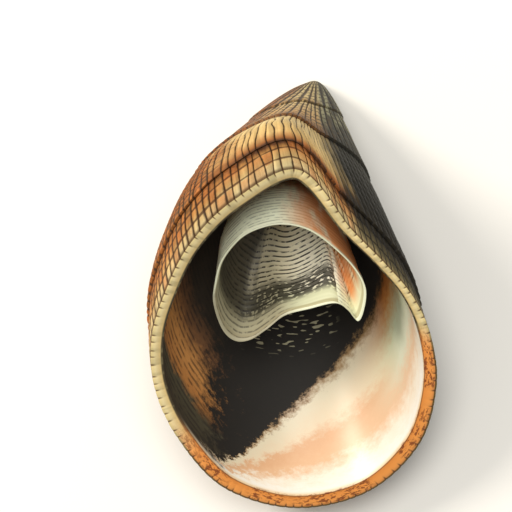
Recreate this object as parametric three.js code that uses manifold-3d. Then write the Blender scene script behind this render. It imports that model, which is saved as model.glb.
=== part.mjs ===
// Cup-and-saucer shell: a ribbed, leaning cap with a thin cup grown inside it.
// It lies on the flattened side of the cap with its mouth open upward.
// Millimetres, +Z up. The shell is shaped with its mouth in the XY plane and
// its beak behind it at -Z, and is then laid down on the ground.
// "time" is the shell's age, 0 at the beak and 1 at the lip, and "turn" goes
// once around the mouth, from the right side at 0 by way of the back at 0.25.

import * as THREE from 'three';
import * as BufferGeometryUtils from 'three/addons/utils/BufferGeometryUtils.js';
import Module from 'manifold-3d';

// Cap: the beak, the mouth's outline and the bent line of growth between them
const capDepth = 29.5;
const beakX = 2.8;
const beakY = 21.9;
const beakTurn = 73.8;
const lipRadii = [
  15.7, 14.4, 14.0, 15.5, 21.7, 19.4, 17.6, 16.6,
  17.1, 18.2, 19.8, 22.4, 23.5, 23.0, 20.9, 18.0,
];
const youngRadius = 18.7;
const lipTakeover = 0.51;
const sideSwing = 2.65;
const sideSwingPower = 3.4;
const backSwing = 0.83;
const backSwingPower = 1.46;
const fullestTime = 0.75;
const sideBulge = 0.1;
const backBulge = 0.16;
const leftShift = 0.43;

// Ribs, and the ledges where growth paused
const ribCount = 54;
const pointsPerRib = 3;
const ribHeight = 0.42;
const crestLift = 0.18;
const ledgeTimes = [0.445, 0.7, 0.92];
const ledgeRise = 0.22;
const ledgeRiseSpan = 0.12;
const ledgeFall = 0.2;
const ledgeFallSpan = 0.1;

// Wall of the cap
const lipWall = 1.2;
const beakWall = 2.2;
const hollowStart = 0.2;
const beakBlunting = 0.5;

// Cup: the outline of its mouth, the line it grows along, and its wall
const cupMouth = [
  [8.2, 5.1], [6.9, 7.7], [4.5, 10.3], [1.5, 12.6], [-1.5, 13.4], [-4.2, 13.0],
  [-6.8, 11.6], [-9.0, 8.7], [-9.8, 5.7], [-10.0, 3.1], [-9.0, -0.3], [-7.5, -1.9],
  [-5.6, -1.8], [-3.5, -0.3], [-1.4, 1.5], [1.6, 2.4], [4.6, 3.1], [6.2, 2.1],
  [7.4, 0.7], [8.1, 2.4],
];
const cupStops = [
  { centre: [1.8, 21.2, -21.8], radius: 1.4 },
  { centre: [0.4, 17.5, -17.2], radius: 1.9 },
  { centre: [-1.1, 13.4, -13.2], radius: 3.4 },
  { centre: [-1.5, 9.3, -8.8], radius: 7.2 },
  { centre: [-0.9, 5.4, -3.0], radius: 8.4 },
];
const cupRootTurn = 48;
const cupWaviness = 3;
const cupWall = 0.7;
const cupFlare = 0.25;
const cupHollowStart = 0.22;
const cupHollowEnd = 0.985;
const smallestRadius = 0.2;

// Resting place of the laid shell
const layDownTurn = 25.7;
const layDownRoll = 7.1;
const wornFlatDepth = 0.35;
const groundSize = 200;

// Rings of the model, from the beak over the lip into the hollow
const ribbedColumns = ribCount * pointsPerRib;
const beakRings = [[0.05, 27], [0.12, 54]];
const ribbedRings = [
  0.2, 0.28, 0.36, 0.435, 0.455, 0.53, 0.61, 0.69, 0.71, 0.78, 0.85, 0.91, 0.93, 1.0,
];
const hollowRings = [
  [0.985, 108], [0.9, 81], [0.78, 81], [0.65, 81], [0.52, 81], [0.4, 54], [0.3, 54],
  [hollowStart, 27],
];
const cupColumns = 44;
const cupRows = 8;
const slopeStep = 0.004;
const mergeDistance = 1e-4;

const fullTurn = 2 * Math.PI;
const xAxis = new THREE.Vector3(1, 0, 0);
const lipCurve = new THREE.CatmullRomCurve3(
  lipRadii.map((radius, i) => polarPoint(radius, (i / lipRadii.length) * fullTurn)),
  true,
  'catmullrom',
);
const cupSpine = new THREE.CatmullRomCurve3(
  cupStops.map((stop) => new THREE.Vector3(...stop.centre)),
);
const cupRadii = new THREE.SplineCurve(
  cupStops.map((stop, i) => new THREE.Vector2(i, stop.radius)),
);
const cupEnd = cupStops[cupStops.length - 1];
const cupMouthCentre = new THREE.Vector3(...cupEnd.centre);
const cupMouthCurve = new THREE.CatmullRomCurve3(
  cupMouth.map(([x, y]) => new THREE.Vector3(x, y, cupEnd.centre[2])),
  true,
);

function polarPoint(radius, angle) {
  return new THREE.Vector3(radius * Math.cos(angle), radius * Math.sin(angle), 0);
}

// How far the cap swells beyond a plain cone, 1 at its fullest
function fullness(time) {
  const peak = fullestTime ** 3 * (1 - fullestTime);
  return (time ** 3 * (1 - time)) / peak;
}

// Centre of the cap's ring of one age
function ringPlace(time) {
  return new THREE.Vector3(
    beakX * (1 - sideSwing * time + (sideSwing - 1) * time ** sideSwingPower),
    beakY * (1 + backSwing * time - (backSwing + 1) * time ** backSwingPower),
    -capDepth * (1 - time),
  );
}

// The outside without its ribs: round near the beak, the lip's outline at the end
function smoothPoint(time, turn) {
  const lip = lipCurve.getPoint(((turn % 1) + 1) % 1);
  const young = polarPoint(youngRadius, turn * fullTurn);
  const point = young.lerp(lip, time ** lipTakeover).multiplyScalar(time);
  const full = fullness(time);
  point.x = point.x * (1 + sideBulge * full) - leftShift * full;
  point.y *= 1 + backBulge * full;
  point.applyAxisAngle(xAxis, THREE.MathUtils.degToRad(beakTurn) * (1 - time));
  return point.add(ringPlace(time));
}

function outwardNormal(time, turn) {
  const late = Math.min(time + slopeStep, 1);
  const early = late - 2 * slopeStep;
  const alongCap = smoothPoint(late, turn).sub(smoothPoint(early, turn));
  const aroundCap = smoothPoint(time, turn + slopeStep).sub(smoothPoint(time, turn - slopeStep));
  return aroundCap.cross(alongCap).normalize();
}

function ribRelief(time, turn) {
  const wave = 0.5 + 0.5 * Math.cos(turn * ribCount * fullTurn);
  return ribHeight * time * wave;
}

// The cap swells just before each ledge and starts narrower after it
function ledgeRelief(time) {
  let relief = 0;
  for (const ledge of ledgeTimes) {
    const rise = 1 - (ledge - time) / ledgeRiseSpan;
    const fall = 1 - (time - ledge) / ledgeFallSpan;
    relief += time < ledge ? ledgeRise * Math.max(rise, 0) : -ledgeFall * Math.max(fall, 0);
  }
  return relief;
}

function outerRing(time, columns) {
  return Array.from({ length: columns }, (_, i) => {
    const turn = i / columns;
    const relief = ribRelief(time, turn) + ledgeRelief(time);
    return smoothPoint(time, turn).addScaledVector(outwardNormal(time, turn), relief);
  });
}

function hollowRing(time, columns) {
  const wall = THREE.MathUtils.lerp(beakWall, lipWall, Math.sqrt(time));
  return Array.from({ length: columns }, (_, i) => {
    const turn = i / columns;
    return smoothPoint(time, turn).addScaledVector(outwardNormal(time, turn), -wall);
  });
}

// The ribs' crests stand proud of the lip as small teeth
function liftCrests(ring) {
  ring.forEach((point, i) => {
    point.z += i % pointsPerRib === 0 ? crestLift : 0;
  });
  return ring;
}

// Triangles between two rings that may hold different numbers of points
function stitch(triangles, lower, upper) {
  let i = 0;
  let j = 0;
  while (i < lower.length || j < upper.length) {
    const a = lower[i % lower.length];
    const b = upper[j % upper.length];
    const lowerIsBehind = (i + 1) / lower.length <= (j + 1) / upper.length;
    if (i < lower.length && (lowerIsBehind || j >= upper.length)) {
      triangles.push(a, lower[(i + 1) % lower.length], b);
      i += 1;
    } else {
      triangles.push(a, upper[(j + 1) % upper.length], b);
      j += 1;
    }
  }
}

function ringCentre(ring) {
  const centre = new THREE.Vector3();
  ring.forEach((point) => centre.add(point));
  return centre.divideScalar(ring.length);
}

// One closed skin through the rings, with a point at each end
function closedBody(startPoint, rings, endPoint) {
  const triangles = [];
  const first = rings[0];
  const last = rings[rings.length - 1];
  first.forEach((point, i) => triangles.push(startPoint, first[(i + 1) % first.length], point));
  for (let i = 0; i + 1 < rings.length; i += 1) {
    stitch(triangles, rings[i], rings[i + 1]);
  }
  last.forEach((point, i) => triangles.push(point, last[(i + 1) % last.length], endPoint));
  const geometry = new THREE.BufferGeometry().setFromPoints(triangles);
  return BufferGeometryUtils.mergeVertices(geometry, mergeDistance);
}

function capGeometry() {
  const beak = beakRings.map(([time, columns]) => outerRing(time, columns));
  const ribbed = ribbedRings.map((time) => outerRing(time, ribbedColumns));
  const hollow = hollowRings.map(([time, columns]) => hollowRing(time, columns));
  liftCrests(ribbed[ribbed.length - 1]);
  const beakTip = ringCentre(beak[0]).lerp(smoothPoint(0, 0), beakBlunting);
  const hollowTip = ringCentre(hollow[hollow.length - 1]);
  return closedBody(beakTip, [...beak, ...ribbed, ...hollow], hollowTip);
}

// The cup's ring at a place along its line: round at the root, wavy at the mouth
function cupRing(place, inset) {
  const centre = cupSpine.getPoint(place);
  const scale = cupRadii.getPoint(place).y / cupEnd.radius;
  const rootTurn = THREE.MathUtils.degToRad(cupRootTurn) * (1 - place);
  return Array.from({ length: cupColumns }, (_, i) => {
    const wavy = cupMouthCurve.getPoint(i / cupColumns).sub(cupMouthCentre);
    const round = polarPoint(cupEnd.radius, Math.atan2(wavy.y, wavy.x));
    const offset = round.lerp(wavy, place ** cupWaviness).multiplyScalar(scale);
    offset.setLength(Math.max(offset.length() - inset, smallestRadius));
    return offset.applyAxisAngle(xAxis, rootTurn).add(centre);
  });
}

function cupGeometry() {
  const outside = Array.from({ length: cupRows }, (_, i) => cupRing(i / cupRows, 0));
  outside.push(cupRing(1, -cupFlare));
  const inside = Array.from({ length: cupRows + 1 }, (_, i) => {
    const place = THREE.MathUtils.lerp(cupHollowEnd, cupHollowStart, i / cupRows);
    return cupRing(place, cupWall);
  });
  const root = ringCentre(outside[0]);
  const bottom = ringCentre(inside[inside.length - 1]);
  return closedBody(root, [...outside, ...inside], bottom);
}

const wasm = await Module();
wasm.setup();

function toManifold(geometry) {
  return new wasm.Manifold(new wasm.Mesh({
    numProp: 3,
    vertProperties: new Float32Array(geometry.attributes.position.array),
    triVerts: new Uint32Array(geometry.index.array),
  }));
}

function toGeometry(body) {
  const mesh = body.getMesh();
  const positions = new Float32Array(mesh.vertProperties);
  const geometry = new THREE.BufferGeometry();
  geometry.setAttribute('position', new THREE.BufferAttribute(positions, 3));
  geometry.setIndex(new THREE.BufferAttribute(new Uint32Array(mesh.triVerts), 1));
  return geometry;
}

// The origin ends up on the ground below the middle of the shell
function layDown(geometry) {
  geometry.rotateX(THREE.MathUtils.degToRad(layDownTurn));
  geometry.rotateY(THREE.MathUtils.degToRad(layDownRoll));
  geometry.computeBoundingBox();
  const middle = geometry.boundingBox.getCenter(new THREE.Vector3());
  const lowest = geometry.boundingBox.min.z;
  return geometry.translate(-middle.x, -middle.y, -lowest - wornFlatDepth);
}

// The worn flat is where the side of the cap has rubbed on the ground
function wearFlat(body) {
  const ground = new THREE.BoxGeometry(groundSize, groundSize, groundSize);
  ground.deleteAttribute('normal');
  ground.deleteAttribute('uv');
  ground.translate(0, 0, -groundSize / 2);
  return body.subtract(toManifold(BufferGeometryUtils.mergeVertices(ground)));
}

function shellMesh() {
  const grown = toManifold(capGeometry()).add(toManifold(cupGeometry()));
  const laid = toManifold(layDown(toGeometry(grown)));
  const material = new THREE.MeshStandardMaterial({
    color: 0xcfa667,
    roughness: 0.55,
    metalness: 0,
  });
  const mesh = new THREE.Mesh(toGeometry(wearFlat(laid)), material);
  mesh.name = 'shell';
  return mesh;
}

const part = new THREE.Group();
part.name = 'cup_and_saucer_shell';
part.add(shellMesh());

export default part;
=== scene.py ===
import math

import bpy
import numpy as np
from mathutils import Matrix, Vector


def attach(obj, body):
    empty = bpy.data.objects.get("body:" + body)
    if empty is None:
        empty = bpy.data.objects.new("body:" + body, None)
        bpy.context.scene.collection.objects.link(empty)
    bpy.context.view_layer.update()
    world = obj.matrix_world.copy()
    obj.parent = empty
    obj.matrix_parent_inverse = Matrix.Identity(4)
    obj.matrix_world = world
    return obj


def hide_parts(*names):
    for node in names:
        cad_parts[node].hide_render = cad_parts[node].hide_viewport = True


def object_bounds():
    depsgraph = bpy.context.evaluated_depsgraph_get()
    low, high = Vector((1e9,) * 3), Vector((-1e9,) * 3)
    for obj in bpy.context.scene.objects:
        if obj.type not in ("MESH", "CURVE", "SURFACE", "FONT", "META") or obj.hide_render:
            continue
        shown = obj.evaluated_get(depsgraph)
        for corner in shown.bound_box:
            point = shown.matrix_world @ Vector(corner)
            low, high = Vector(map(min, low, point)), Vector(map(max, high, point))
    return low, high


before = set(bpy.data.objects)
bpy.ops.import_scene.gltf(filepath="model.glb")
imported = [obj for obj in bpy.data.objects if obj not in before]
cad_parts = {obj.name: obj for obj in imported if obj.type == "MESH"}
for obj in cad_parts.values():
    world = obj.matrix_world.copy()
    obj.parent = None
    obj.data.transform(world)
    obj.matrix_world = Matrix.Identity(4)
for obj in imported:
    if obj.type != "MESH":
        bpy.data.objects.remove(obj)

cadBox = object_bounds()
bpy.ops.object.select_all(action="DESELECT")

mm = 0.001
fullTurn = 2 * math.pi
smallStep = 0.004  # of a turn or an age, for reading a slope
# which of the shell's five finishes a face takes
zoneNumber = {"outside": 0, "rim": 1, "hollow": 2, "cupOutside": 3, "cupInside": 4}

# Age runs from 0 at the beak to 1 at the lip. Turn runs once around the mouth:
# right side 0, back 0.25, left side 0.5, front 0.75.
# The shell is shaped in millimetres with its mouth in the XY plane, then laid down.


def srgb(hexColour):
    channels = [int(hexColour[i:i + 2], 16) / 255 for i in (1, 3, 5)]
    linear = [c / 12.92 if c <= 0.04045 else ((c + 0.055) / 1.055) ** 2.4 for c in channels]
    return (*linear, 1.0)


def curveThrough(points, place, closed=False):
    points = np.asarray(points, float)
    if closed:
        padded = np.concatenate([points[-1:], points, points[:3]])
        along = (np.asarray(place) % 1.0) * len(points)
    else:
        before, after = 2 * points[0] - points[1], 2 * points[-1] - points[-2]
        padded = np.concatenate([[before], points, [after, after]])
        along = np.clip(place, 0, 1) * (len(points) - 1)
    start = np.floor(along).astype(int)
    t = (along - start)[..., None]
    p0, p1, p2, p3 = (padded[start + k] for k in range(4))
    return 0.5 * (2 * p1 + (p2 - p0) * t + (2 * p0 - 5 * p1 + 4 * p2 - p3) * t ** 2
                  + (3 * p1 - p0 - 3 * p2 + p3) * t ** 3)


def roundOffsets(radius, turn):
    return np.stack([radius * np.cos(turn * fullTurn), radius * np.sin(turn * fullTurn)], -1)


def smoothStep(value, low, high):
    t = np.clip((np.asarray(value) - low) / (high - low), 0, 1)
    return t * t * (3 - 2 * t)


def riseAndFall(value, riseLow, riseHigh, fallLow, fallHigh):
    return smoothStep(value, riseLow, riseHigh) * (1 - smoothStep(value, fallLow, fallHigh))


# The grown form of the cap

cap = {
    "depth": 29.5,
    "beak": (2.8, 21.9),
    "beakTurn": 73.8,
    "lipRadii": (15.7, 14.4, 14.0, 15.5, 21.7, 19.4, 17.6, 16.6,
                 17.1, 18.2, 19.8, 22.4, 23.5, 23.0, 20.9, 18.0),
    "youngRadius": 18.7,
    "lipTakeover": 0.51,
    "sideSwing": (2.65, 3.4),
    "backSwing": (0.83, 1.46),
    "fullestAge": 0.75,
    "bulge": (0.10, 0.16),
    "leftShift": 0.43,
    "beakWall": 2.2,
    "lipWall": 1.2,
    "hollowStart": 0.2,
    "hollowEnd": 0.955,
    "tipAge": 0.05,
    "tipBlunting": 0.85,
    "tipDome": 0.32,
    "domeSpan": (0.04, 0.2),
}
ribs = {
    "seed": 11,
    "count": 108,
    "splits": ((0.24, 0.38), (0.46, 0.56)),  # between these ages each rib becomes two, then two again
    "height": 0.40,
    "grooveDepth": 0.22,
    "grooveProfile": ((0.0, 0.0), (0.11, 0.62), (0.30, 0.93), (0.5, 1.0), (0.70, 0.93), (0.89, 0.62)),
    "jitter": 0.16,
    "wander": 0.13,
    "wanderSpan": (0.1, 0.4),
    "unevenness": 0.07,
}
ledges = {  # steps left where growth stopped for a while: place, rise before and fall after in mm
    "steps": ((0.30, 0.10, 0.08), (0.55, 0.17, 0.14), (0.90, 0.22, 0.20)),
    "riseSpan": 0.12,
    "fallSpan": 0.09,
    "edge": (0.0008, 0.0035),  # the rows just before and just after a step
    "near": 0.0045,
    "leftDelay": 0.10,
    "delayTurns": (0.25, 0.38, 0.55, 0.75),
    "delayAges": (0.15, 0.5, 0.6, 0.88),
}
cords = {  # fine cross lines between the ledges
    "first": 0.565,
    "last": 0.985,
    "leadIn": 0.015,
    "spacing": 0.0335,
    "depth": 0.10,
    "flank": 0.006,
    "flankShare": 0.15,
    "weakTurns": (0.12, 0.2, 0.28, 0.36),
    "allRoundFrom": 0.88,
}
rim = {
    "widths": (0.95, 0.75, 0.75, 0.95, 1.45, 1.35, 1.2, 1.1, 1.1, 1.15, 1.3, 1.4, 1.4, 1.4, 1.4, 1.25),
    "tilt": 0.10,
    "rounding": 0.08,
    "roundingSkew": 1.3,
    "drawnWidth": 1.5,  # the colour runs are laid out for a rim as wide as this
    "rows": 6,
    "teeth": 0.08,
    "teethFrom": 0.975,
    "wear": 0.85,  # how much the ribs fade out at the lip
    "wearFrom": 0.955,
}
capRowCount = {"tip": 5, "young": 26, "hollow": 40, "end": 4}


def ringPlace(age):
    sideFirst, sidePower = cap["sideSwing"]
    backFirst, backPower = cap["backSwing"]
    x = cap["beak"][0] * (1 - sideFirst * age + (sideFirst - 1) * age ** sidePower)
    y = cap["beak"][1] * (1 + backFirst * age - (backFirst + 1) * age ** backPower)
    return np.stack([x, y, -cap["depth"] * (1 - age)], -1)


def lipOutline(turn):
    radii = np.array(cap["lipRadii"])
    return curveThrough(roundOffsets(radii, np.arange(len(radii)) / len(radii)), turn, closed=True)


def smoothCap(age, turn):
    age, turn = np.broadcast_arrays(np.asarray(age, float), np.asarray(turn, float))
    young = roundOffsets(cap["youngRadius"], turn)
    takeover = (age ** cap["lipTakeover"])[..., None]
    offset = (young + (lipOutline(turn) - young) * takeover) * age[..., None]
    peak = cap["fullestAge"] ** 3 * (1 - cap["fullestAge"])
    full = age ** 3 * (1 - age) / peak
    x = offset[..., 0] * (1 + cap["bulge"][0] * full) - cap["leftShift"] * full
    y = offset[..., 1] * (1 + cap["bulge"][1] * full)
    tilt = math.radians(cap["beakTurn"]) * (1 - age)
    return ringPlace(age) + np.stack([x, y * np.cos(tilt), y * np.sin(tilt)], -1)


def capNormal(age, turn):
    late = np.minimum(age + smallStep, 1.0)
    alongCap = smoothCap(late, turn) - smoothCap(late - 2 * smallStep, turn)
    aroundCap = smoothCap(age, turn + smallStep) - smoothCap(age, turn - smallStep)
    normal = np.cross(aroundCap, alongCap)
    return normal / np.linalg.norm(normal, axis=-1, keepdims=True)


def layOutRibs():  # grooves stand evenly along the lip, each a little out of place
    dice = np.random.default_rng(ribs["seed"])
    fine = np.linspace(0, 1, 2001)
    steps = np.linalg.norm(np.diff(lipOutline(fine), axis=0), axis=1)
    along = np.concatenate([[0], np.cumsum(steps)]) / steps.sum()
    count = ribs["count"]
    jitter = dice.uniform(-ribs["jitter"], ribs["jitter"], count)
    grooveTurn = np.interp((np.arange(count) + jitter + 0.5) / count, along, fine)
    within = np.array([place for place, _ in ribs["grooveProfile"]])
    profile = np.array([height for _, height in ribs["grooveProfile"]])
    wholeRib = ([*within, 1.0], [*profile, 0.0])
    perRib = len(within)
    rib = np.repeat(np.arange(count), perRib)
    share = np.tile(within, count)
    nextTurn = np.where(rib == count - 1, grooveTurn[0] + 1, grooveTurn[(rib + 1) % count])
    return {
        "turn": grooveTurn[rib] + (nextTurn - grooveTurn[rib]) * share,
        "share": share,
        "rib": rib,
        "grooves": [1 - np.interp((rib + share) / wide % 1.0, *wholeRib) for wide in (4, 2, 1)],
        "tone": dice.uniform(0, 1, count)[rib],
        "swing": dice.uniform(0.5, 1.0, (3, count)),
        "beat": dice.uniform(3.0, 9.0, (3, count)),
        "start": dice.uniform(0, 1, (3, count)),
    }


ribPlan = layOutRibs()


def ribWander(stage):
    beats = fullTurn * (ribPlan["beat"] * stage + ribPlan["start"])
    sway = (ribPlan["swing"] * np.sin(beats)).sum(0) * ribs["wander"] / 1.5
    here, beyond = sway[ribPlan["rib"]], sway[(ribPlan["rib"] + 1) % ribs["count"]]
    grown = smoothStep(stage, *ribs["wanderSpan"]) / ribs["count"]
    return (here + (beyond - here) * ribPlan["share"]) * grown


def ageAt(stage, turn):  # on the left flank growth lines stand later than at the back
    left = riseAndFall(turn % 1.0, *ledges["delayTurns"])
    return stage + ledges["leftDelay"] * left * riseAndFall(stage, *ledges["delayAges"])


def grooveMask(stage):
    first, last = (float(smoothStep(stage, *ages)) for ages in ribs["splits"])
    wide, middle, fine = ribPlan["grooves"]
    return wide * (1 - first) + middle * (first - last) + fine * last


def ledgeHeight(stage):
    height = 0.0
    for place, rise, fall in ledges["steps"]:
        if stage < place:
            height += rise * max(0.0, 1 - (place - stage) / ledges["riseSpan"])
        else:
            height -= fall * max(0.0, 1 - (stage - place) / ledges["fallSpan"])
    return height


def cordZone(turn):  # the cross lines are strong on the flanks and near the lip, weak at the back
    return 1 - riseAndFall(turn % 1.0, *cords["weakTurns"])


def outsideStages():  # (stage, how much of a cross line it is)
    lastYoung = cords["first"] - cords["leadIn"]
    young = [(stage, 0.0) for stage in np.linspace(cap["tipAge"], lastYoung, capRowCount["young"])]
    old = []
    stage = cords["first"]
    while stage < cords["last"]:
        old += [(stage - cords["flank"], cords["flankShare"]), (stage, 1.0),
                (stage + cords["flank"], cords["flankShare"]), (stage + cords["spacing"] / 2, 0.0)]
        stage += cords["spacing"]
    rows = sorted(young + old + [(1.0, 0.0)])
    before, after = ledges["edge"]
    for place, _, _ in ledges["steps"]:
        rows = [row for row in rows if abs(row[0] - place) > ledges["near"]]
        rows += [(place - before, 0.0), (place + after, 1.0)]
    return sorted(rows)


def outsideRow(stage, line):
    turn = ribPlan["turn"] + ribWander(stage)
    age = ageAt(stage, turn)
    groove = grooveMask(stage)
    onLedge = any(abs(stage - place) <= ledges["near"] for place, _, _ in ledges["steps"])
    allRound = onLedge or stage > cords["allRoundFrom"]
    cross = line * (np.ones_like(turn) if allRound else cordZone(turn))
    even = 1 - ribs["unevenness"] * ribPlan["tone"]
    worn = 1 - rim["wear"] * smoothStep(stage, rim["wearFrom"], 1.0)
    height = age * ribs["height"] * even - age ** 0.5 * ribs["grooveDepth"] * groove * worn
    height = height + ledgeHeight(stage) - cords["depth"] * cross * (1 - groove)
    points = smoothCap(age, turn) + capNormal(age, turn) * height[..., None]
    backHalf = np.maximum(np.sin(turn * fullTurn), 0)
    points[:, 1] += cap["tipDome"] * (1 - smoothStep(stage, *cap["domeSpan"])) * backHalf ** 2
    points[:, 2] -= rim["teeth"] * groove * smoothStep(stage, rim["teethFrom"], 1.0)
    return {"points": points, "turn": turn, "stage": np.full_like(turn, stage), "groove": groove,
            "cross": cross, "inward": np.zeros_like(turn), "tone": ribPlan["tone"],
            "zone": zoneNumber["outside"]}


def hollowRow(age, before):
    turn = ribPlan["turn"]
    wall = cap["beakWall"] + (cap["lipWall"] - cap["beakWall"]) * math.sqrt(age)
    points = smoothCap(age, turn) - capNormal(age, turn) * wall
    inward = before["inward"] + np.linalg.norm(points - before["points"], axis=1)
    return dict(before, points=points, turn=turn, stage=np.full_like(turn, age), inward=inward,
                zone=zoneNumber["hollow"])


def rimRows(outer):
    turn = outer["turn"]
    ahead, behind = lipOutline(turn + smallStep), lipOutline(turn - smallStep)
    tangent = (ahead - behind) / np.linalg.norm(ahead - behind, axis=1, keepdims=True)
    inwardSide = np.stack([-tangent[:, 1], tangent[:, 0], np.full_like(turn, -rim["tilt"])], -1)
    width = curveThrough(np.array(rim["widths"])[:, None], turn, closed=True)
    innerEdge = smoothCap(1.0, turn) + inwardSide * width
    rows = []
    for k in range(1, rim["rows"] + 1):
        across = k / rim["rows"]
        points = outer["points"] + (innerEdge - outer["points"]) * across
        points[:, 2] += rim["rounding"] * math.sin(math.pi * min(1.0, across * rim["roundingSkew"]))
        inward = np.full_like(turn, rim["drawnWidth"] * across)
        rows.append(dict(outer, points=points, inward=inward, zone=zoneNumber["rim"]))
    return rows


def capRows():
    rows = [outsideRow(stage, line) for stage, line in outsideStages()]
    first = rows[0]
    middle = first["points"].mean(0)
    tip = middle + (smoothCap(0.0, 0.0) - middle) * cap["tipBlunting"]
    end = []
    for k in range(capRowCount["tip"]):
        angle = math.pi / 2 * k / capRowCount["tip"]
        outward, forward = math.sin(angle), math.cos(angle)
        points = middle + (first["points"] - middle) * outward + (tip - middle) * forward
        end.append(dict(first, points=points, stage=first["stage"] * outward))
    rows = end + rows + rimRows(rows[-1])
    for age in np.linspace(cap["hollowEnd"], cap["hollowStart"], capRowCount["hollow"]):
        rows.append(hollowRow(age, rows[-1]))
    last = rows[-1]
    toMiddle = last["points"].mean(0) - last["points"]
    for k in range(1, capRowCount["end"] + 1):
        rows.append(dict(last, points=last["points"] + toMiddle * (k / capRowCount["end"])))
    return rows


# The cup inside the cap

cup = {
    "mouth": ((8.2, 5.1), (6.9, 7.7), (4.5, 10.3), (1.5, 12.6), (-1.5, 13.4), (-4.2, 13.0),
              (-6.8, 11.6), (-9.0, 8.7), (-9.8, 5.7), (-10.0, 3.1), (-9.0, -0.3), (-7.5, -1.9),
              (-5.6, -1.8), (-3.5, -0.3), (-1.4, 1.5), (1.6, 2.4), (4.6, 3.1), (6.2, 2.1),
              (7.4, 0.7), (8.1, 2.4)),
    "line": ((1.8, 21.2, -21.8), (0.4, 17.5, -17.2), (-1.1, 13.4, -13.2), (-1.5, 9.3, -8.8),
             (-0.9, 5.4, -3.0)),
    "radii": (1.4, 1.9, 3.4, 7.2, 8.4),
    "rootTurn": 48,
    "waviness": 3,
    "leastRadius": 0.2,
    "wall": 0.62,
    "lipThinning": 0.6,
    "thinSpan": (0.84, 0.99),
    "flare": 0.1,
    "flareSpan": (0.9, 1.0),
    "hollowStart": 0.22,
    "hollowEnd": 0.99,
    "columns": 130,
    "outsideRows": 40,
    "lipRows": 4,
    "insideRows": 36,
    "waveHeight": 0.05,
    "waveSpacing": 0.075,
    "lipRounding": 0.08,
}


def cupRow(place, inset, turn):
    middle = curveThrough(cup["line"], np.array(place))
    radius = float(curveThrough(np.array(cup["radii"])[:, None], np.array(place))[0])
    full = cup["radii"][-1]
    wavy = curveThrough(cup["mouth"], turn, closed=True) - np.array(cup["line"][-1][:2])
    angle = np.arctan2(wavy[:, 1], wavy[:, 0]) / fullTurn
    even = roundOffsets(full, angle)
    offset = (even + (wavy - even) * place ** cup["waviness"]) * radius / full
    length = np.linalg.norm(offset, axis=-1, keepdims=True)
    wave = cup["waveHeight"] * math.cos(fullTurn * place / cup["waveSpacing"]) * place
    offset *= np.maximum(length - inset + wave, cup["leastRadius"]) / length
    lean = math.radians(cup["rootTurn"]) * (1 - place)
    spread = np.stack([offset[:, 0], offset[:, 1] * math.cos(lean), offset[:, 1] * math.sin(lean)], -1)
    return middle + spread


def cupRows():
    turn = np.arange(cup["columns"]) / cup["columns"]
    zeros = np.zeros_like(turn)
    blank = {"turn": turn, "groove": zeros, "cross": zeros, "inward": zeros, "tone": zeros}

    def row(points, place, zone):
        return dict(blank, points=points, stage=np.full_like(turn, place), zone=zoneNumber[zone])

    outerRows = []
    for place in np.linspace(0, 1, cup["outsideRows"]):
        flare = cup["flare"] * smoothStep(place, *cup["flareSpan"])
        outerRows.append(row(cupRow(place, -flare, turn), place, "cupOutside"))
    innerRows = []
    for place in np.linspace(cup["hollowEnd"], cup["hollowStart"], cup["insideRows"]):
        wall = cup["wall"] * (1 - cup["lipThinning"] * smoothStep(place, *cup["thinSpan"]))
        innerRows.append(row(cupRow(place, wall, turn), place, "cupInside"))
    outer, inner = outerRows[-1]["points"], innerRows[0]["points"]
    lip = []
    for k in range(1, cup["lipRows"]):
        across = k / cup["lipRows"]
        points = outer + (inner - outer) * across
        points[:, 2] += cup["lipRounding"] * math.sin(math.pi * across)
        lip.append(row(points, 1.0, "cupOutside"))
    rootMiddle = np.broadcast_to(outerRows[0]["points"].mean(0), outer.shape)
    root = row(rootMiddle, 0.0, "cupOutside")
    hollowMiddle = np.broadcast_to(innerRows[-1]["points"].mean(0), outer.shape)
    bottom = row(hollowMiddle, cup["hollowStart"], "cupInside")
    return [root, *outerRows, *lip, *innerRows, bottom]


# From rows of points to a mesh

closing = {"mergeDistance": 0.0005, "cutTolerance": 0.001, "creaseAngle": 50}  # mm, mm, degrees


def growMesh(name, rows):
    columns = len(rows[0]["turn"])
    bpy.ops.mesh.primitive_grid_add(x_subdivisions=columns, y_subdivisions=len(rows) - 1, size=1)
    piece = bpy.context.object
    piece.name = name
    mesh = piece.data
    mesh.name = name
    flat = np.empty(len(mesh.vertices) * 3, np.float32)
    mesh.vertices.foreach_get("co", flat)
    flat = flat.reshape(-1, 3)
    column = np.round((flat[:, 0] + 0.5) * columns).astype(int) % columns
    row = np.round((flat[:, 1] + 0.5) * (len(rows) - 1)).astype(int)

    def spread(key):
        return np.stack([one[key] for one in rows])[row, column]

    def note(attribute, kind, values):
        field = "vector" if kind == "FLOAT_VECTOR" else "value"
        layer = mesh.attributes.new(attribute, kind, "POINT")
        layer.data.foreach_set(field, values.astype(np.float32).ravel())

    mesh.vertices.foreach_set("co", (spread("points") * mm).astype(np.float32).ravel())
    angle = spread("turn") * fullTurn
    note("growth", "FLOAT_VECTOR", np.stack([np.cos(angle), np.sin(angle), spread("stage")], -1))
    note("groove", "FLOAT", spread("groove"))
    note("cross", "FLOAT", spread("cross"))
    note("inward", "FLOAT", spread("inward"))
    note("tone", "FLOAT", spread("tone"))
    zones = np.array([one["zone"] for one in rows])
    corners = np.empty(len(mesh.polygons) * 4, np.int32)
    mesh.polygons.foreach_get("vertices", corners)
    faceZone = zones[row[corners.reshape(-1, 4)].max(1)]
    mesh.polygons.foreach_set("material_index", faceZone.astype(np.int32))
    mesh.update()
    return piece


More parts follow.
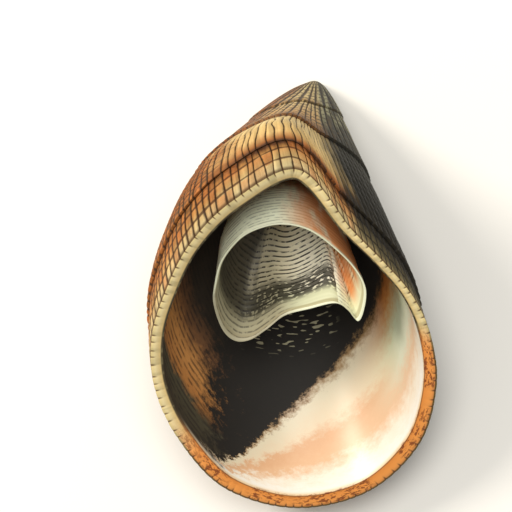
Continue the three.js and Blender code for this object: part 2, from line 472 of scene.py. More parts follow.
def closeMesh(piece):
    bpy.ops.object.mode_set(mode="EDIT")
    bpy.ops.mesh.select_all(action="SELECT")
    bpy.ops.mesh.remove_doubles(threshold=closing["mergeDistance"] * mm)
    bpy.ops.mesh.normals_make_consistent(inside=False)
    bpy.ops.object.mode_set(mode="OBJECT")


# Laying the shell down

rest = {"turn": 25.7, "roll": 7.1, "wornFlat": 0.35}  # degrees, degrees, mm worn off the underside


def restRotation():
    turn = Matrix.Rotation(math.radians(rest["turn"]), 4, "X")
    roll = Matrix.Rotation(math.radians(rest["roll"]), 4, "Y")
    return roll @ turn


def restPlace(piece):
    rotation = np.array(restRotation().to_3x3())
    flat = np.empty(len(piece.data.vertices) * 3, np.float32)
    piece.data.vertices.foreach_get("co", flat)
    turned = flat.reshape(-1, 3) @ rotation.T
    low, high = turned.min(0), turned.max(0)
    middle = (Vector(cadBox[0]) + Vector(cadBox[1])) / 2
    shift = Vector((middle.x - (low[0] + high[0]) / 2, middle.y - (low[1] + high[1]) / 2,
                    -low[2] - rest["wornFlat"] * mm))
    return Matrix.Translation(shift) @ restRotation()


def wearFlat(piece):
    bpy.ops.object.mode_set(mode="EDIT")
    bpy.ops.mesh.select_all(action="SELECT")
    bpy.ops.mesh.bisect(plane_co=(0, 0, 0), plane_no=(0, 0, 1), use_fill=True, clear_inner=True,
                        threshold=closing["cutTolerance"] * mm)
    bpy.ops.object.mode_set(mode="OBJECT")


# Finishes

def addNode(material, kind, settings=None, inputs=None, stops=None):
    node = material.node_tree.nodes.new("ShaderNode" + kind)
    for name, value in (settings or {}).items():
        setattr(node, name, value)
    for name, value in (inputs or {}).items():
        if isinstance(value, bpy.types.Node):
            value = next(socket for socket in value.outputs if socket.enabled)
        if isinstance(value, bpy.types.NodeSocket):
            material.node_tree.links.new(value, node.inputs[name])
        else:
            node.inputs[name].default_value = value
    if stops:
        elements = node.color_ramp.elements
        elements.remove(elements[-1])
        elements[0].position, elements[0].color = stops[0][0], srgb(stops[0][1])
        for place, colour in stops[1:]:
            elements.new(place).color = srgb(colour)
    return node


def newMaterial(name):
    material = bpy.data.materials.new(name)
    material.use_nodes = True
    material.node_tree.nodes.clear()
    return material


smooth = {"interpolation_type": "SMOOTHSTEP"}
times = {"operation": "MULTIPLY"}
timesPlus = {"operation": "MULTIPLY_ADD"}
minus = {"operation": "SUBTRACT"}
over = {"operation": "DIVIDE"}
larger = {"operation": "MAXIMUM"}
dot = {"operation": "DOT_PRODUCT"}
colourMix = {"data_type": "RGBA"}
colourTimes = {"data_type": "RGBA", "blend_type": "MULTIPLY"}
shellIor = 1.53  # calcite and aragonite, on average

# The growth attribute holds the cosine and sine of the turn, and the age. One unit is about
# 18 mm around the lip and 36 mm from beak to lip, and 8 mm and 22 mm on the cup. A Mapping
# scale of (30, 30, 6) so gives marks 0.6 mm wide and 6 mm long. Real growth lines are 0.1 mm
# or finer and wouldn't show, so all marks are drawn as coarse as they need to be.
# Map Range reads socket 0 from the span 1 to 2 and gives the span 3 to 4.

outside = {
    # back: the dark dips at the ledge steps near 0.30, 0.55 and 0.90 are partly brown bands of the
    # shell's own and partly painted shade along each step
    "back": ((0.0, "#8E7F55"), (0.12, "#C9B57E"), (0.27, "#D9BE82"), (0.296, "#A07840"),
             (0.306, "#DBC084"), (0.46, "#CFA262"), (0.535, "#8E5F2E"), (0.553, "#7C5024"),
             (0.563, "#E3C27E"), (0.68, "#E8CB8B"), (0.85, "#E2BC78"), (0.885, "#B07038"),
             (0.897, "#4A2A12"), (0.915, "#6A3F1B"), (0.935, "#D29A58"), (0.965, "#E3C283"),
             (0.985, "#E8D29A"), (1.0, "#EAD8A6")),
    "left": ((0.0, "#8A6C3E"), (0.2, "#9C622C"), (0.45, "#AA6328"), (0.75, "#AB6427"),
             (0.88, "#B36D2D"), (0.95, "#C78A48"), (0.972, "#DFBC7C"), (1.0, "#E8D4A0")),
    # right: the right flank, dark olive of its own, darkened toward black as painted shade of the side
    # turned from the light
    "right": ((0.0, "#57523A"), (0.4, "#2F2D1D"), (0.8, "#1D1B11"), (0.93, "#2A2315"),
              (0.985, "#6C603F"), (1.0, "#C6B382")),
    "leftSpan": (0.05, -0.40),
    "rightSpan": (0.5, 0.85),
    "orange": "#CF7A38",
    "groove": "#35200D",
    "cross": "#472810",
    "shadedFlankLine": "#0F0C07",
    "olive": "#A9A57E",
    "hatchSpacing": 0.034,
    "hatch": "#3F331B",
    "roughness": 0.62,
    "specular": 0.3,
    "grain": 0.35,
    "lipLine": "#4A2E12",
}


def ribbedCalcite():  # calcite ribs, dull and chalky, with brown skin left in the grooves
    material = newMaterial("ribbedCalcite")
    growth = addNode(material, "Attribute", {"attribute_name": "growth"}).outputs["Vector"]
    groove = addNode(material, "Attribute", {"attribute_name": "groove"}).outputs["Fac"]
    cross = addNode(material, "Attribute", {"attribute_name": "cross"}).outputs["Fac"]
    tone = addNode(material, "Attribute", {"attribute_name": "tone"}).outputs["Fac"]
    parts = addNode(material, "SeparateXYZ", inputs={0: growth})
    stage = parts.outputs["Z"]
    streakMap = addNode(material, "Mapping", inputs={"Vector": growth, "Scale": (30, 30, 6)})
    streaks = addNode(material, "TexNoise", inputs={
        "Vector": streakMap, "Scale": 1.0, "Detail": 4.0, "Roughness": 0.62})
    blotch = addNode(material, "TexNoise", inputs={"Vector": growth, "Scale": 7.0, "Detail": 2.0})
    unevenStage = addNode(material, "Math", timesPlus, {0: streaks, 1: 0.02, 2: stage})
    shiftedStage = addNode(material, "Math", minus, {0: unevenStage, 1: 0.01})
    back = addNode(material, "ValToRGB", inputs={0: shiftedStage}, stops=outside["back"])
    left = addNode(material, "ValToRGB", inputs={0: shiftedStage}, stops=outside["left"])
    right = addNode(material, "ValToRGB", inputs={0: shiftedStage}, stops=outside["right"])
    sideWarp = addNode(material, "Math", timesPlus, {0: blotch, 1: 0.5, 2: parts.outputs["X"]})
    leftMask = addNode(material, "MapRange", smooth, {
        0: sideWarp, 1: outside["leftSpan"][0], 2: outside["leftSpan"][1]})
    rightMask = addNode(material, "MapRange", smooth, {
        0: sideWarp, 1: outside["rightSpan"][0], 2: outside["rightSpan"][1]})
    withLeft = addNode(material, "Mix", colourMix, {0: leftMask, 6: back, 7: left})
    oliveGaps = addNode(material, "MapRange", smooth, {0: blotch, 1: 0.42, 2: 0.56})
    oliveEnd = addNode(material, "MapRange", smooth, {0: stage, 1: 0.52, 2: 0.36, 4: 0.8})
    oliveShare = addNode(material, "Math", times, {0: oliveGaps, 1: oliveEnd})
    patchedRight = addNode(material, "Mix", colourMix, {
        0: oliveShare, 6: right, 7: srgb(outside["olive"])})
    withRight = addNode(material, "Mix", colourMix, {0: rightMask, 6: withLeft, 7: patchedRight})
    # each little square between the cross lines has a tone of its own
    cordPlace = addNode(material, "Math", over, {0: stage, 1: cords["spacing"]})
    cordNumber = addNode(material, "Math", {"operation": "FLOOR"}, {0: cordPlace})
    squarePlace = addNode(material, "CombineXYZ", inputs={0: tone, 1: cordNumber})
    squareTone = addNode(material, "TexWhiteNoise", {"noise_dimensions": "3D"}, {"Vector": squarePlace})
    squareMask = addNode(material, "MapRange", inputs={0: squareTone, 1: 0.45, 2: 0.95, 4: 0.75})
    squareZone = addNode(material, "MapRange", smooth, {0: stage, 1: 0.80, 2: 0.93})
    squareSide = addNode(material, "MapRange", smooth, {0: sideWarp, 1: 0.85, 2: 0.45})
    squareArea = addNode(material, "Math", times, {0: squareZone, 1: squareSide})
    squareShare = addNode(material, "Math", times, {0: squareMask, 1: squareArea})
    squared = addNode(material, "Mix", colourMix, {
        0: squareShare, 6: withRight, 7: srgb(outside["orange"])})
    mottle = addNode(material, "MapRange", inputs={0: streaks, 1: 0.3, 2: 0.7, 3: 0.53, 4: 1.0})
    mottled = addNode(material, "Mix", colourTimes, {0: 1.0, 6: squared, 7: mottle})
    # the dark lines are wide near the beak and on the left, thin at the back, and ragged all over
    hatchMap = addNode(material, "Mapping", inputs={"Vector": growth, "Scale": (16, 16, 70)})
    hatchNoise = addNode(material, "TexNoise", inputs={"Vector": hatchMap, "Scale": 1.0, "Detail": 2.0})
    lineLow = addNode(material, "MapRange", inputs={0: stage, 1: 0.2, 2: 0.6, 3: 0.27, 4: 0.53})
    lineHigh = addNode(material, "MapRange", inputs={0: stage, 1: 0.2, 2: 0.6, 3: 0.55, 4: 1.0})
    flankWidth = addNode(material, "MapRange", smooth, {0: stage, 1: 0.25, 2: 0.60, 3: 0.0, 4: 0.22})
    flankGroove = addNode(material, "Math", timesPlus, {0: leftMask, 1: flankWidth, 2: groove})
    flankCross = addNode(material, "Math", timesPlus, {0: leftMask, 1: 0.16, 2: cross})
    raggedGroove = addNode(material, "Math", timesPlus, {0: hatchNoise, 1: 0.5, 2: flankGroove})
    raggedCross = addNode(material, "Math", timesPlus, {0: hatchNoise, 1: 0.9, 2: flankCross})
    grooveMask = addNode(material, "MapRange", smooth, {
        0: raggedGroove, 1: lineLow, 2: lineHigh, 4: 0.93})
    # on the right flank the lines turn near black: painted shade
    grooveInk = addNode(material, "Mix", colourMix, {
        0: rightMask, 6: srgb(outside["groove"]), 7: srgb(outside["shadedFlankLine"])})
    crossInk = addNode(material, "Mix", colourMix, {
        0: rightMask, 6: srgb(outside["cross"]), 7: srgb(outside["shadedFlankLine"])})
    grooved = addNode(material, "Mix", colourMix, {0: grooveMask, 6: mottled, 7: grooveInk})
    crossMask = addNode(material, "MapRange", smooth, {0: raggedCross, 1: 0.85, 2: 1.35, 4: 0.85})
    crossed = addNode(material, "Mix", colourMix, {0: crossMask, 6: grooved, 7: crossInk})
    # short hatching strokes of painted shade on the beak and, weaker, down the left flank
    hatchPhase = addNode(material, "Math", timesPlus, {0: streaks, 1: 0.02, 2: stage})
    hatchWave = addNode(material, "Math", times, {0: hatchPhase, 1: fullTurn / outside["hatchSpacing"]})
    hatchLine = addNode(material, "Math", {"operation": "SINE"}, {0: hatchWave})
    hatchMask = addNode(material, "MapRange", inputs={0: hatchLine, 1: 0.1, 2: 0.7, 4: 0.8})
    hatchGaps = addNode(material, "MapRange", smooth, {0: hatchNoise, 1: 0.40, 2: 0.50})
    hatchStrokes = addNode(material, "Math", times, {0: hatchMask, 1: hatchGaps})
    hatchBeak = addNode(material, "MapRange", smooth, {0: stage, 1: 0.56, 2: 0.50})
    hatchEnd = addNode(material, "MapRange", smooth, {0: stage, 1: 0.96, 2: 0.90, 4: 0.85})
    hatchFlank = addNode(material, "Math", times, {0: hatchEnd, 1: leftMask})
    hatchZone = addNode(material, "Math", larger, {0: hatchBeak, 1: hatchFlank})
    hatchShare = addNode(material, "Math", times, {0: hatchStrokes, 1: hatchZone})
    hatched = addNode(material, "Mix", colourMix, {
        0: hatchShare, 6: crossed, 7: srgb(outside["hatch"])})
    lipStart = addNode(material, "MapRange", smooth, {0: stage, 1: 0.988, 2: 0.997, 4: 0.8})
    lipLined = addNode(material, "Mix", colourMix, {
        0: lipStart, 6: hatched, 7: srgb(outside["lipLine"])})
    grain = addNode(material, "Bump", inputs={
        "Height": streaks, "Strength": outside["grain"], "Distance": 0.15 * mm})
    shader = addNode(material, "BsdfPrincipled", inputs={
        "Base Color": lipLined, "Roughness": outside["roughness"], "IOR": shellIor,
        "Specular IOR Level": outside["specular"], "Normal": grain})
    addNode(material, "OutputMaterial", inputs={"Surface": shader})
    return material


hollow = {
    "rimReach": 2.4,  # mm from the lip's outer edge
    "rimBright": ((0.0, "#6E5A22"), (0.16, "#5F4A1E"), (0.26, "#E8984E"), (0.5, "#FCA650"),
                  (1.35, "#F29844"), (1.5, "#8F5A24"), (1.62, "#F6D9AE"), (2.4, "#FFFAF0")),
    "rimCream": ((0.0, "#EDD796"), (0.5, "#F6E3AC"), (1.15, "#E8CB8A"), (1.3, "#4A4028"),
                 (1.5, "#3B3019"), (2.4, "#3B3222")),
    # bright and brightUpper: the lining's own white, peach and pale green on the lit front right; the
    # white next to the rim is partly a painted highlight, and the brown at the far end is painted shade
    # at the edge of the lip's shadow
    "bright": ((0.0, "#FFFAF0"), (0.14, "#FCF0DE"), (0.30, "#ECC098"), (0.50, "#E7B58B"),
               (0.64, "#F1DDBE"), (0.90, "#EFE4C8"), (1.0, "#A9875C")),
    "brightUpper": ((0.0, "#FFFAF0"), (0.13, "#FBEEDA"), (0.27, "#F0CBA8"), (0.42, "#E3E6CE"),
                    (0.62, "#D3DBBA"), (0.74, "#CDB98C"), (0.84, "#C98A4C"), (0.94, "#A8642F"),
                    (1.0, "#5E4326")),
    # dark: the shaded left side, the lining's own olive and brown made darker as painted shade
    "dark": ((0.0, "#3B3222"), (0.26, "#4F4A35"), (0.36, "#BE7E3E"), (0.55, "#D3944F"),
             (0.76, "#7A5230"), (1.0, "#2A2116")),
    "darkReach": 16.0,
    # brightReach: how far the painted lit crescent reaches before the painted shadow begins
    "brightReach": (1.0, 16.5),  # narrow where the pale lining begins and ends, wide at the front right
    # deep: near black, painted shadow of the lip deep in the hollow; the brown growth lines use it too
    "deep": "#130E09",
    "split": (0.68, -0.73),
    "rimSplit": (0.36, -0.93),
    "freckle": "#843E14",
    "lineSpacing": 0.85,
    "stroke": "#CFCBAA",
    "rimHatch": "#9C9266",
    "tooth": "#5A3415",
    "dulling": "#F0F0F0",
    "roughness": (0.75, 0.34),  # of the dark and of the pale lining
    "ripple": 0.10,
}


def enamelledHollow():  # the smooth lining: dense, glossy, like glazed porcelain
    material = newMaterial("enamelledHollow")
    growth = addNode(material, "Attribute", {"attribute_name": "growth"}).outputs["Vector"]
    inward = addNode(material, "Attribute", {"attribute_name": "inward"}).outputs["Fac"]
    groove = addNode(material, "Attribute", {"attribute_name": "groove"}).outputs["Fac"]
    parts = addNode(material, "SeparateXYZ", inputs={0: growth})
    streakMap = addNode(material, "Mapping", inputs={"Vector": growth, "Scale": (12, 12, 64)})
    streaks = addNode(material, "TexNoise", inputs={
        "Vector": streakMap, "Scale": 1.0, "Detail": 5.0, "Roughness": 0.78})
    cloud = addNode(material, "TexNoise", inputs={"Vector": growth, "Scale": 2.6, "Detail": 2.0})
    side = addNode(material, "VectorMath", dot, {0: growth, 1: (*hollow["split"], 0.0)})
    sideWarp = addNode(material, "Math", timesPlus, {0: cloud, 1: 0.3, 2: side.outputs["Value"]})
    sideRagged = addNode(material, "Math", timesPlus, {0: streaks, 1: 0.9, 2: sideWarp})
    litSideMask = addNode(material, "MapRange", smooth, {0: sideRagged, 1: 0.72, 2: 0.98})
    rimTurn = addNode(material, "VectorMath", dot, {0: growth, 1: (*hollow["rimSplit"], 0.0)})
    rimWarp = addNode(material, "Math", timesPlus, {0: cloud, 1: 0.3, 2: rimTurn.outputs["Value"]})
    rimMask = addNode(material, "MapRange", smooth, {0: rimWarp, 1: 0.35, 2: 0.68})
    # the rim, in mm from its outer edge. On the lit front right the white inside the orange band is
    # partly a painted highlight; on the left the dark olive inside the cream band is partly painted
    # shade.
    rimPlace = addNode(material, "Math", over, {0: inward, 1: hollow["rimReach"]})
    rimBright = addNode(material, "ValToRGB", inputs={0: rimPlace},
                        stops=[(d / hollow["rimReach"], c) for d, c in hollow["rimBright"]])
    rimCream = addNode(material, "ValToRGB", inputs={0: rimPlace},
                       stops=[(d / hollow["rimReach"], c) for d, c in hollow["rimCream"]])
    # the lining: pale and peach at the front right, brown and olive at the left and deep down. This
    # split is painted light over the lining's own colours: the front right is painted lit, the left
    # painted shade, and deep down painted shadow of the lip.
    streaky = addNode(material, "Math", timesPlus, {0: streaks, 1: 5.0, 2: inward})
    cloudy = addNode(material, "Math", timesPlus, {0: cloud, 1: 2.0, 2: streaky})
    depth = addNode(material, "Math", minus, {0: cloudy, 1: 5.6})
    reach = addNode(material, "MapRange", smooth, {0: side.outputs["Value"], 1: 0.3, 2: 1.08,
        3: hollow["brightReach"][0], 4: hollow["brightReach"][1]})
    brightPlace = addNode(material, "Math", over, {0: depth, 1: reach})
    darkPlace = addNode(material, "Math", over, {0: depth, 1: hollow["darkReach"]})
    lower = addNode(material, "ValToRGB", inputs={0: brightPlace}, stops=hollow["bright"])
    upper = addNode(material, "ValToRGB", inputs={0: brightPlace}, stops=hollow["brightUpper"])
    upperMask = addNode(material, "MapRange", smooth, {0: parts.outputs["Y"], 1: -0.92, 2: -0.50})
    bright = addNode(material, "Mix", colourMix, {0: upperMask, 6: lower, 7: upper})
    dark = addNode(material, "ValToRGB", inputs={0: darkPlace}, stops=hollow["dark"])
    paintedShadowMask = addNode(material, "MapRange", smooth, {0: brightPlace, 1: 0.98, 2: 1.06})
    shadowPainted = addNode(material, "Mix", colourMix, {0: paintedShadowMask, 6: bright, 7: srgb(hollow["deep"])})
    linings = addNode(material, "Mix", colourMix, {0: litSideMask, 6: dark, 7: shadowPainted})
    # fine growth lines on the brown side, and a few pale strokes, painted glints, on the painted-shadow
    # wall in front of the cup
    strokeMap = addNode(material, "Mapping", inputs={"Vector": growth, "Scale": (14, 14, 50)})
    strokeNoise = addNode(material, "TexNoise", inputs={
        "Vector": strokeMap, "Scale": 1.0, "Detail": 2.0})
    linePhase = addNode(material, "Math", times, {0: inward, 1: fullTurn / hollow["lineSpacing"]})
    lineWave = addNode(material, "Math", {"operation": "SINE"}, {0: linePhase})
    lineMask = addNode(material, "MapRange", smooth, {0: lineWave, 1: -0.1, 2: 0.7, 4: 0.62})
    lineGaps = addNode(material, "MapRange", smooth, {0: strokeNoise, 1: 0.38, 2: 0.54})
    lineShare = addNode(material, "Math", times, {0: lineMask, 1: lineGaps})
    brownSide = addNode(material, "Math", minus, {0: 1.0, 1: litSideMask})
    brownLines = addNode(material, "Math", times, {0: lineShare, 1: brownSide})
    lined = addNode(material, "Mix", colourMix, {0: brownLines, 6: linings, 7: srgb(hollow["deep"])})
    frontTurn = addNode(material, "VectorMath", dot, {0: growth, 1: (0.0, -1.0, 0.0)})
    frontSide = addNode(material, "MapRange", smooth, {0: frontTurn.outputs["Value"], 1: 0.88, 2: 0.97})
    strokeStart = addNode(material, "MapRange", smooth, {0: parts.outputs["Z"], 1: 0.64, 2: 0.67})
    strokeEnd = addNode(material, "MapRange", smooth, {0: parts.outputs["Z"], 1: 0.755, 2: 0.725})
    dashMap = addNode(material, "Mapping", inputs={"Vector": growth, "Scale": (15, 15, 250)})
    dashNoise = addNode(material, "TexNoise", inputs={"Vector": dashMap, "Scale": 1.0, "Detail": 0.0})
    strokeMask = addNode(material, "MapRange", smooth, {0: dashNoise, 1: 0.66, 2: 0.70, 4: 0.8})
    strokeSpan = addNode(material, "Math", times, {0: strokeStart, 1: strokeEnd})
    strokeArea = addNode(material, "Math", times, {0: strokeSpan, 1: frontSide})
    strokeShare = addNode(material, "Math", times, {0: strokeMask, 1: strokeArea})
    stroked = addNode(material, "Mix", colourMix, {0: strokeShare, 6: lined, 7: srgb(hollow["stroke"])})
    rimHatch = addNode(material, "MapRange", smooth, {0: strokeNoise, 1: 0.50, 2: 0.62, 4: 0.35})
    creamHatched = addNode(material, "Mix", colourMix, {
        0: rimHatch, 6: rimCream, 7: srgb(hollow["rimHatch"])})
    rims = addNode(material, "Mix", colourMix, {0: rimMask, 6: creamHatched, 7: rimBright})
    pastRim = addNode(material, "MapRange", smooth, {0: inward, 1: 1.7, 2: 2.3})
    both = addNode(material, "Mix", colourMix, {0: pastRim, 6: rims, 7: stroked})
    # freckles and clusters of them on the orange rim, and a tooth mark at the end of each groove
    freckleMap = addNode(material, "Mapping", inputs={"Vector": growth, "Scale": (26, 26, 14)})
    freckleWide = addNode(material, "CombineXYZ", inputs={2: inward})
    frecklePlace = addNode(material, "VectorMath", {"operation": "MULTIPLY_ADD"}, {
        0: freckleWide, 1: (0, 0, 3.5), 2: freckleMap})
    freckles = addNode(material, "TexNoise", inputs={
        "Vector": frecklePlace, "Scale": 1.0, "Detail": 3.0, "Roughness": 0.7})
    freckleMask = addNode(material, "MapRange", inputs={0: freckles, 1: 0.49, 2: 0.57, 4: 0.9})
    clusters = addNode(material, "TexNoise", inputs={"Vector": growth, "Scale": 5.5, "Detail": 1.0})
    clusterMask = addNode(material, "MapRange", smooth, {0: clusters, 1: 0.36, 2: 0.48})
    rimStart = addNode(material, "MapRange", smooth, {0: inward, 1: 0.2, 2: 0.35})
    rimEnd = addNode(material, "MapRange", smooth, {0: inward, 1: 1.9, 2: 1.5})
    rimZone = addNode(material, "Math", times, {0: rimStart, 1: rimEnd})
    rimSide = addNode(material, "Math", times, {0: rimZone, 1: rimMask})
    clustered = addNode(material, "Math", times, {0: freckleMask, 1: clusterMask})
    freckleShare = addNode(material, "Math", times, {0: clustered, 1: rimSide})
    freckled = addNode(material, "Mix", colourMix, {
        0: freckleShare, 6: both, 7: srgb(hollow["freckle"])})
    toothEnd = addNode(material, "MapRange", smooth, {0: inward, 1: 0.75, 2: 0.15})
    toothMask = addNode(material, "MapRange", smooth, {0: groove, 1: 0.3, 2: 0.8, 4: 0.9})
    toothShare = addNode(material, "Math", times, {0: toothEnd, 1: toothMask})
    toothed = addNode(material, "Mix", colourMix, {
        0: toothShare, 6: freckled, 7: srgb(hollow["tooth"])})
    # the lining is a little duller than the thin cup
    duller = addNode(material, "Mix", colourTimes, {
        0: 1.0, 6: toothed, 7: srgb(hollow["dulling"])})
    ripple = addNode(material, "Bump", inputs={
        "Height": streaks, "Strength": hollow["ripple"], "Distance": 0.1 * mm})
    paleShare = addNode(material, "Math", minus, {0: litSideMask, 1: paintedShadowMask})
    gloss = addNode(material, "MapRange", inputs={
        0: paleShare, 1: 0.2, 2: 0.9, 3: hollow["roughness"][0], 4: hollow["roughness"][1]})
    shader = addNode(material, "BsdfPrincipled", inputs={
        "Base Color": duller, "Roughness": gloss, "IOR": shellIor, "Normal": ripple})
    addNode(material, "OutputMaterial", inputs={"Surface": shader})
    return material


cupLook = {
    "outside": {"stops": ((0.0, "#B9B28C"), (0.35, "#E2E8C2"), (0.7, "#F0F7D8"), (0.95, "#F4FADE"),
                          (1.0, "#E6E9CC")),
                "lines": 52, "lineInk": 0.45, "lineEnd": (1.0, 0.99), "shade": 0.0,
                "stainSide": (0.94, 0.34), "stainSpan": (0.50, 0.94), "stainEnd": (1.0, 0.985)},
    # inside: darker deep down in the cup as painted shade; the near-white cream at 0.6 to 0.8 is partly
    # a painted highlight
    "inside": {"stops": ((0.2, "#7A7052"), (0.45, "#C9BB8C"), (0.60, "#FBEFC6"), (0.80, "#FDF5D4"),
                         (0.90, "#DDE0BA"), (0.972, "#E0E3C0"), (0.98, "#BDB891"), (1.0, "#BDB891")),
               "lines": 50, "lineInk": 1.0, "lineEnd": (0.93, 0.89), "shade": 0.88,
               "stainSide": (0.98, -0.20), "stainSpan": (0.75, 0.95), "stainEnd": (0.985, 0.9)},
    "ink": "#17120A",
    "shade": "#17130B",
    "stain": "#DC8038",
    "lobe": "#968D72",
    "glint": "#FFF9E4",
    "glintSide": (0.40, -0.92),
    "lobeSide": (-0.91, -0.42),
    "darkSide": (-0.97, 0.25),
    "bandSide": (-0.2, -0.98),
    "roughness": 0.5,
    "relief": 0.15,
}


def cupAragonite(name, side):  # thin, hard aragonite with its growth lines showing
    look = cupLook[side]
    material = newMaterial(name)
    growth = addNode(material, "Attribute", {"attribute_name": "growth"}).outputs["Vector"]
    stage = addNode(material, "SeparateXYZ", inputs={0: growth}).outputs["Z"]
    wobble = addNode(material, "TexNoise", inputs={"Vector": growth, "Scale": 1.8, "Detail": 1.0})
    patches = addNode(material, "TexNoise", inputs={"Vector": growth, "Scale": 5.0, "Detail": 4.0})
    streakMap = addNode(material, "Mapping", inputs={"Vector": growth, "Scale": (12, 12, 60)})
    dashes = addNode(material, "TexNoise", inputs={"Vector": streakMap, "Scale": 1.0, "Detail": 3.0})
    plain = addNode(material, "ValToRGB", inputs={0: stage}, stops=look["stops"])
    glintTurn = addNode(material, "VectorMath", dot, {
        0: growth, 1: (*cupLook["glintSide"], 0.0)}).outputs["Value"]
    glintSide = addNode(material, "MapRange", smooth, {0: glintTurn, 1: 0.72, 2: 0.95})
    glintEnd = addNode(material, "MapRange", smooth, {0: stage, 1: 0.93, 2: 0.87})
    glintShare = addNode(material, "Math", times, {0: glintSide, 1: glintEnd})
    base = addNode(material, "Mix", colourMix, {0: glintShare, 6: plain, 7: srgb(cupLook["glint"])})
    warped = addNode(material, "Math", timesPlus, {0: wobble, 1: 0.05, 2: stage})
    # growth lines, broken up
    phase = addNode(material, "Math", times, {0: warped, 1: fullTurn * look["lines"]})
    wave = addNode(material, "Math", {"operation": "COSINE"}, {0: phase})
    lineMask = addNode(material, "MapRange", smooth, {0: wave, 1: 0.25, 2: 0.8, 4: look["lineInk"]})
    lineGaps = addNode(material, "MapRange", smooth, {0: dashes, 1: 0.35, 2: 0.55})
    # the lobe at the front left is greyer and more lined: partly painted shade
    lobeTurn = addNode(material, "VectorMath", dot, {
        0: growth, 1: (*cupLook["lobeSide"], 0.0)}).outputs["Value"]
    lobeShare = addNode(material, "MapRange", smooth, {0: lobeTurn, 1: 0.45, 2: 0.80, 4: 0.85})
    lineStop = addNode(material, "MapRange", smooth, {
        0: stage, 1: look["lineEnd"][0], 2: look["lineEnd"][1]})
    lobeLines = addNode(material, "Math", times, {0: lobeShare, 1: 0.75})
    lineEnd = addNode(material, "Math", larger, {0: lineStop, 1: lobeLines})
    brokenLines = addNode(material, "Math", times, {0: lineMask, 1: lineGaps})
    lineShare = addNode(material, "Math", times, {0: brokenLines, 1: lineEnd})
    lobed = addNode(material, "Mix", colourMix, {0: lobeShare, 6: base, 7: srgb(cupLook["lobe"])})
    lined = addNode(material, "Mix", colourMix, {0: lineShare, 6: lobed, 7: srgb(cupLook["ink"])})
    # an orange stain on the right flank
    stainTurn = addNode(material, "VectorMath", dot, {
        0: growth, 1: (*look["stainSide"], 0.0)}).outputs["Value"]
    stainSide = addNode(material, "MapRange", smooth, {
        0: stainTurn, 1: look["stainSpan"][0], 2: look["stainSpan"][1]})
    stainGaps = addNode(material, "MapRange", smooth, {0: patches, 1: 0.26, 2: 0.54, 4: 0.88})
    stainEnd = addNode(material, "MapRange", smooth, {
        0: stage, 1: look["stainEnd"][0], 2: look["stainEnd"][1]})
    stainPart = addNode(material, "Math", times, {0: stainSide, 1: stainGaps})
    stainShare = addNode(material, "Math", times, {0: stainPart, 1: stainEnd})
    stained = addNode(material, "Mix", colourMix, {0: stainShare, 6: lined, 7: srgb(cupLook["stain"])})
    # dark on the left and in a band of dense strokes below the front edge
    leftTurn = addNode(material, "VectorMath", dot, {
        0: growth, 1: (*cupLook["darkSide"], 0.0)}).outputs["Value"]
    leftWarp = addNode(material, "Math", timesPlus, {0: patches, 1: 0.5, 2: leftTurn})
    leftSide = addNode(material, "MapRange", smooth, {0: leftWarp, 1: 0.6, 2: 1.1, 4: look["shade"]})
    leftEnd = addNode(material, "MapRange", smooth, {0: stage, 1: 0.96, 2: 0.88})
    leftShare = addNode(material, "Math", times, {0: leftSide, 1: leftEnd})
    frontTurn = addNode(material, "VectorMath", dot, {
        0: growth, 1: (*cupLook["bandSide"], 0.0)}).outputs["Value"]
    frontSide = addNode(material, "MapRange", smooth, {0: frontTurn, 1: 0.2, 2: 0.5, 4: look["shade"]})
    bandStart = addNode(material, "MapRange", smooth, {0: warped, 1: 0.80, 2: 0.87})
    bandEnd = addNode(material, "MapRange", smooth, {0: warped, 1: 0.975, 2: 0.93})
    bandStrokes = addNode(material, "MapRange", smooth, {0: dashes, 1: 0.62, 2: 0.50})
    band = addNode(material, "Math", times, {0: bandStart, 1: bandEnd})
    brokenBand = addNode(material, "Math", times, {0: band, 1: bandStrokes})
    frontShare = addNode(material, "Math", times, {0: brokenBand, 1: frontSide})
    shadeShare = addNode(material, "Math", larger, {0: leftShare, 1: frontShare})
    shaded = addNode(material, "Mix", colourMix, {0: shadeShare, 6: stained, 7: srgb(cupLook["shade"])})
    relief = addNode(material, "Bump", inputs={
        "Height": wave, "Strength": cupLook["relief"], "Distance": 0.06 * mm})
    shader = addNode(material, "BsdfPrincipled", inputs={
        "Base Color": shaded, "Roughness": cupLook["roughness"], "IOR": shellIor, "Normal": relief})
    addNode(material, "OutputMaterial", inputs={"Surface": shader})
    return material


# Building the shell

def growPiece(name, rows, materials):
    piece = growMesh(name, rows)
    closeMesh(piece)
    for material in materials:
        piece.data.materials.append(material)
    print(name, "grown:", len(piece.data.polygons), "faces")
    return piece


lining = enamelledHollow()
finishes = (ribbedCalcite(), lining, lining,
            cupAragonite("cupOutsideAragonite", "outside"), cupAragonite("cupInsideAragonite", "inside"))
shell = growPiece("cupAndSaucerShell", capRows(), finishes)
place = restPlace(shell)
bpy.ops.object.select_all(action="DESELECT")
innerCup = growPiece("innerCup", cupRows(), finishes)
shell.select_set(True)
bpy.context.view_layer.objects.active = shell
bpy.ops.object.join()
shell.data.transform(place)
wearFlat(shell)
bpy.ops.object.shade_smooth_by_angle(angle=math.radians(closing["creaseAngle"]))
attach(shell, "root")
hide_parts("shell")
print("shell laid down:", len(shell.data.polygons), "faces")


# Floor, light and camera

floorLook = {"size": 1.2, "colour": "#F6F5F2", "roughness": 0.9}


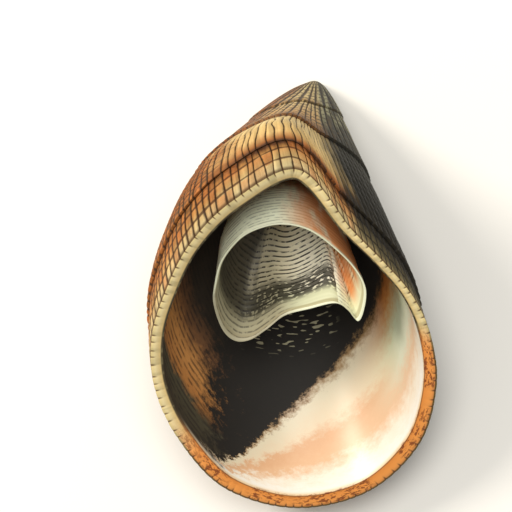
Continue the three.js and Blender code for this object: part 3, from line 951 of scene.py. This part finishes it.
def layFloor():
    bpy.ops.mesh.primitive_plane_add(size=floorLook["size"], location=(0, 0, 0))
    floor = bpy.context.object
    floor.name = "paleFloor"
    material = newMaterial("paintedBoard")  # matt emulsion paint: pale, with no shine
    shader = addNode(material, "BsdfPrincipled", inputs={
        "Base Color": srgb(floorLook["colour"]), "Roughness": floorLook["roughness"]})
    addNode(material, "OutputMaterial", inputs={"Surface": shader})
    floor.data.materials.append(material)


lights = {
    "key": {"place": (-0.26, 0.15, 0.26), "size": 0.13, "power": 1.03, "colour": "#FFF6E8"},
    "fill": {"place": (0.02, 0.14, 0.54), "size": 0.35, "power": 1.88, "colour": "#FFFBF2"},
    "sky": ("#FFFDF9", 0.34),
    "aimHeight": 0.012,
}


def lightScene():
    for name in ("key", "fill"):
        look = lights[name]
        bpy.ops.object.light_add(type="AREA", location=look["place"])
        lamp = bpy.context.object
        lamp.name = name + "Light"
        lamp.data.shape = "DISK"
        lamp.data.size = look["size"]
        lamp.data.energy = look["power"]
        lamp.data.color = srgb(look["colour"])[:3]
        toShell = Vector((0, 0, lights["aimHeight"])) - Vector(look["place"])
        lamp.rotation_euler = toShell.to_track_quat("-Z", "Y").to_euler()
    bpy.context.scene.view_settings.view_transform = "Standard"
    world = bpy.data.worlds.new("paleRoom")
    world.use_nodes = True
    sky = world.node_tree.nodes["Background"]
    sky.inputs["Color"].default_value = srgb(lights["sky"][0])
    sky.inputs["Strength"].default_value = lights["sky"][1]
    bpy.context.scene.world = world


# degrees and mm, in the frame of the shell before it is laid down
view = {"tilt": 24.0, "distance": 256.0, "lens": 150.0, "sensor": 36.0, "aim": (-4.92, 9.72)}


def placeCamera():
    tilt = math.radians(view["tilt"])
    right = Vector((1, 0, 0))
    up = Vector((0, math.cos(tilt), -math.sin(tilt)))
    back = Vector((0, math.sin(tilt), math.cos(tilt)))
    spot = (right * view["aim"][0] + up * view["aim"][1] + back * view["distance"]) * mm
    turn = Matrix((right, up, back)).transposed().to_4x4()
    camera = bpy.data.objects.new("camera", bpy.data.cameras.new("camera"))
    camera.data.lens = view["lens"]
    camera.data.sensor_width = view["sensor"]
    camera.data.clip_start = 0.01
    camera.matrix_world = place @ Matrix.Translation(spot) @ turn
    bpy.context.scene.collection.objects.link(camera)
    bpy.context.scene.camera = camera


layFloor()
lightScene()
placeCamera()
print("floor, lights and camera set")
